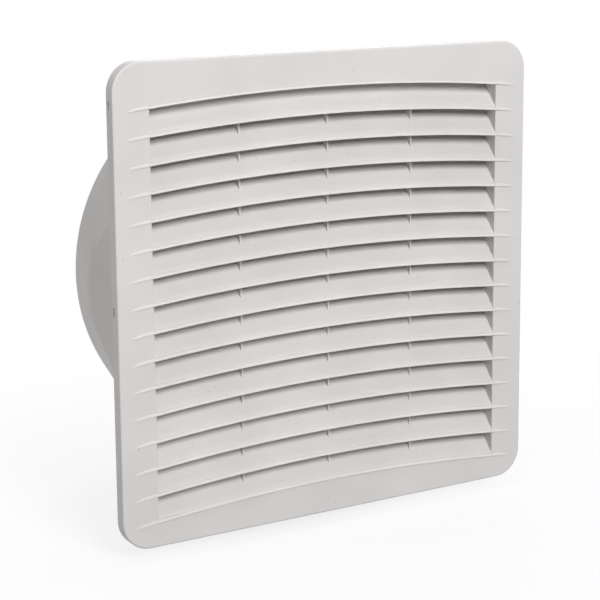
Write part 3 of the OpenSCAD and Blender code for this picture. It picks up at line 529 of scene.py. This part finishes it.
def sweepBlades():
    slope = math.atan2(blades["riseMm"], blades["depthMm"])
    length = math.hypot(blades["riseMm"], blades["depthMm"])
    lift = blades["proudMm"] - blades["skinMm"] / 2
    across = blades["frontMm"] + blades["depthMm"] / 2 - math.sin(slope) * lift
    up = blades["firstMm"] + blades["lowMm"] + blades["riseMm"] / 2 + math.cos(slope) * lift
    bpy.ops.object.select_all(action="DESELECT")
    bpy.ops.mesh.primitive_plane_add(size=1, rotation=(0, math.pi / 2, 0))
    outline = bpy.context.object
    outline.name = "grilleBlades"
    outline.scale = (blades["skinMm"] * mm, length * mm, 1)
    bpy.ops.object.transform_apply(location=True, rotation=True, scale=True)
    outline.rotation_euler.x = slope
    outline.location = (0, across * mm, up * mm)
    bpy.ops.object.transform_apply(location=True, rotation=True, scale=True)
    sweepRows(outline, blades["firstMm"], blades["halfMm"], blades["count"])


# Tails: each lip runs on along its arc over the side border and thins out to a leaf's point
tails = {"lengthMm": 17.6, "heightMm": 2.5, "overlapMm": 1.0, "rings": 48}


def shapeTails():
    reach = louvres["arcMm"] + lips["lowMm"]
    turn = math.asin(lips["halfMm"] / louvres["arcMm"])
    slope = turn + tails["lengthMm"] / reach / 2
    bpy.ops.object.select_all(action="DESELECT")
    bpy.ops.mesh.primitive_uv_sphere_add(segments=lips["sides"], ring_count=tails["rings"],
                                         radius=lips["edgeMm"] * mm, rotation=(0, math.pi / 2, 0))
    tail = bpy.context.object
    tail.name = "grilleTails"
    bpy.ops.object.transform_apply(location=True, rotation=True, scale=True)
    tail.scale = (tails["lengthMm"] / lips["edgeMm"], 1, tails["heightMm"] / lips["edgeMm"])
    bpy.ops.object.transform_apply(location=True, rotation=True, scale=True)
    # cut off square at the root, a little inside the lip, and flat underneath
    rootCut = ((-tails["overlapMm"] * mm, 0, 0), (1, 0, 0))
    underCut = ((0, 0, -lips["underMm"] * mm), (0, 0, 1))
    bpy.ops.object.mode_set(mode="EDIT")
    for point, normal in (rootCut, underCut):
        bpy.ops.mesh.select_all(action="SELECT")
        bpy.ops.mesh.bisect(plane_co=point, plane_no=normal, clear_inner=True, use_fill=True)
    bpy.ops.mesh.select_all(action="SELECT")
    bpy.ops.mesh.normals_make_consistent(inside=False)
    bpy.ops.object.mode_set(mode="OBJECT")
    tail.rotation_euler.y = slope
    tail.location = (reach * math.sin(turn) * mm, lipFront,
                     (lips["firstMm"] - louvres["arcMm"] + reach * math.cos(turn)) * mm)
    bpy.ops.object.transform_apply(location=True, rotation=True, scale=True)
    bothSides = tail.modifiers.new("bothSides", "MIRROR")
    bothSides.use_axis = (True, False, False)
    bpy.ops.object.modifier_apply(modifier=bothSides.name)
    finishRows(tail, lips["count"])


sweepLips()
sweepBlades()
shapeTails()


# Filter mat: cut from a thick web of fibres, so its faces are lumpy and its cut sides a little ragged
fleece = {"voxelMm": 2.0, "lumpMm": 28, "lumpDepthMm": 0.7, "tuftMm": 5, "tuftDepthMm": 0.5, "smoothings": 6}
# Foam ring: cut from cellular sheet
foam = {"voxelMm": 0.9, "lumpMm": 9, "lumpDepthMm": 0.12, "tuftMm": 2, "tuftDepthMm": 0.12, "smoothings": 2}


def soften(name, soft, ending):
    # every lump goes inwards, so the piece stays in the room that its solid has
    piece = copyOfNode(name, ending)
    grid = piece.modifiers.new("grid", "REMESH")
    grid.mode = "VOXEL"
    grid.voxel_size = soft["voxelMm"] * mm
    bpy.ops.object.modifier_apply(modifier=grid.name)
    rounded = piece.modifiers.new("rounded", "SMOOTH")
    rounded.iterations = soft["smoothings"]
    bpy.ops.object.modifier_apply(modifier=rounded.name)
    for size, depth in ((soft["lumpMm"], soft["lumpDepthMm"]), (soft["tuftMm"], soft["tuftDepthMm"])):
        clouds = bpy.data.textures.new(name + "Clouds", "CLOUDS")
        clouds.noise_scale = size * mm
        lumps = piece.modifiers.new("lumps", "DISPLACE")
        lumps.texture = clouds
        lumps.texture_coords = "LOCAL"
        lumps.strength = depth * mm
        lumps.mid_level = 1.0
        bpy.ops.object.modifier_apply(modifier=lumps.name)
    bpy.ops.object.shade_smooth()
    standFor(piece, name)
    return piece


fleeceMat = soften("filter_mat", fleece, "Fleece")
foamRing = soften("frame_gasket", foam, "Foam")
print("soft pieces:", len(fleeceMat.data.polygons), len(foamRing.data.polygons))


# Studio: white floor and surround, a raised soft lamp in front, a wide one at the left, a narrow strip
# overhead for the lips and top edges, and one behind for the rear housing
studio = {"white": "#ffffff", "fill": 0.08, "fillTone": "#fff6ee", "paper": "#f6f6f6", "bounce": "#949494",
          "floorSize": 6.0, "floorDrop": 9 * mm, "shadowShare": 0.2, "shadowReach": 0.55}
lamps = {
    "frontLamp": {"place": (-0.1, -2.35, 1.3), "size": (0.9, 1.1), "power": 64},
    "leftLamp": {"place": (-2.4, 0.35, 0.3), "size": (1.6, 1.6), "power": 22.5},
    "topLamp": {"place": (0.1, -0.16, 2.2), "size": (1.4, 0.12), "power": 12},
    "rearLamp": {"place": (1.3, 2.3, 0.9), "size": (1.4, 1.4), "power": 36},
}


def isBackgroundRay(tree):
    # camera, mirror and glass rays see plain white
    path = addNode(tree, "ShaderNodeLightPath")
    first = addNode(tree, "ShaderNodeMath", {"operation": "MAXIMUM"},
                    {0: path.outputs["Is Camera Ray"], 1: path.outputs["Is Glossy Ray"]})
    both = addNode(tree, "ShaderNodeMath", {"operation": "MAXIMUM"},
                   {0: first.outputs[0], 1: path.outputs["Is Transmission Ray"]})
    return both.outputs[0]


def lightRoom():
    world = bpy.data.worlds.new("studioRoom")
    bpy.context.scene.world = world
    world.use_nodes = True
    tree = world.node_tree
    seen = isBackgroundRay(tree)
    strength = addNode(tree, "ShaderNodeMapRange", {"To Min": studio["fill"], "To Max": 1.0}, {"Value": seen})
    tone = addNode(tree, "ShaderNodeMix",
                   {"data_type": "RGBA", 6: linear(studio["fillTone"]), 7: linear(studio["white"])},
                   {0: seen})
    tree.links.new(strength.outputs["Result"], tree.nodes["Background"].inputs["Strength"])
    tree.links.new(tone.outputs[2], tree.nodes["Background"].inputs["Color"])


def layFloor():
    bpy.ops.object.select_all(action="DESELECT")
    bpy.ops.mesh.primitive_plane_add(size=studio["floorSize"],
                                     location=(0, 0, cadBox[0].z - studio["floorDrop"]))
    floor = bpy.context.object
    floor.name = "studioFloor"
    # white paper: takes a faint shadow near the object and is lost in the white surround further out
    material, tree, where = startMaterial("whitePaper", {"Roughness": 1.0})
    shader = tree.nodes["Principled BSDF"]
    seen = isBackgroundRay(tree)
    paper = addNode(tree, "ShaderNodeMix",
                    {"data_type": "RGBA", 6: linear(studio["bounce"]), 7: linear(studio["paper"])}, {0: seen})
    tree.links.new(paper.outputs[2], shader.inputs["Base Color"])
    away = addNode(tree, "ShaderNodeVectorMath", {"operation": "LENGTH"}, {0: where})
    plainWhite = addNode(tree, "ShaderNodeMapRange",
                         {"From Min": 0.0, "From Max": studio["shadowReach"],
                          "To Min": 1 - studio["shadowShare"], "To Max": 1.0,
                          "interpolation_type": "SMOOTHSTEP"},
                         {"Value": away.outputs["Value"]})
    share = addNode(tree, "ShaderNodeMath", {"operation": "MULTIPLY"},
                    {0: seen, 1: plainWhite.outputs["Result"]})
    white = addNode(tree, "ShaderNodeEmission", {"Color": linear(studio["white"]), "Strength": 1.0})
    mixed = addNode(tree, "ShaderNodeMixShader",
                    links={0: share.outputs[0], 1: shader.outputs[0], 2: white.outputs[0]})
    # seen from below the paper isn't there
    side = addNode(tree, "ShaderNodeNewGeometry")
    clear = addNode(tree, "ShaderNodeBsdfTransparent")
    oneSided = addNode(tree, "ShaderNodeMixShader",
                       links={0: side.outputs["Backfacing"], 1: mixed.outputs[0], 2: clear.outputs[0]})
    tree.links.new(oneSided.outputs[0], tree.nodes["Material Output"].inputs["Surface"])
    floor.data.materials.append(material)


def hangLamp(name):
    bpy.ops.object.select_all(action="DESELECT")
    bpy.ops.object.light_add(type="AREA", location=lamps[name]["place"])
    lamp = bpy.context.object
    lamp.name = name
    lamp.data.shape = "RECTANGLE"
    lamp.data.size, lamp.data.size_y = lamps[name]["size"]
    lamp.data.energy = lamps[name]["power"]
    lamp.rotation_mode = "QUATERNION"
    lamp.rotation_quaternion = (-Vector(lamps[name]["place"])).to_track_quat("-Z", "Y")


lightRoom()
layFloor()
for name in lamps:
    hangLamp(name)
bpy.context.scene.view_settings.view_transform = "Standard"
print("studio lit")
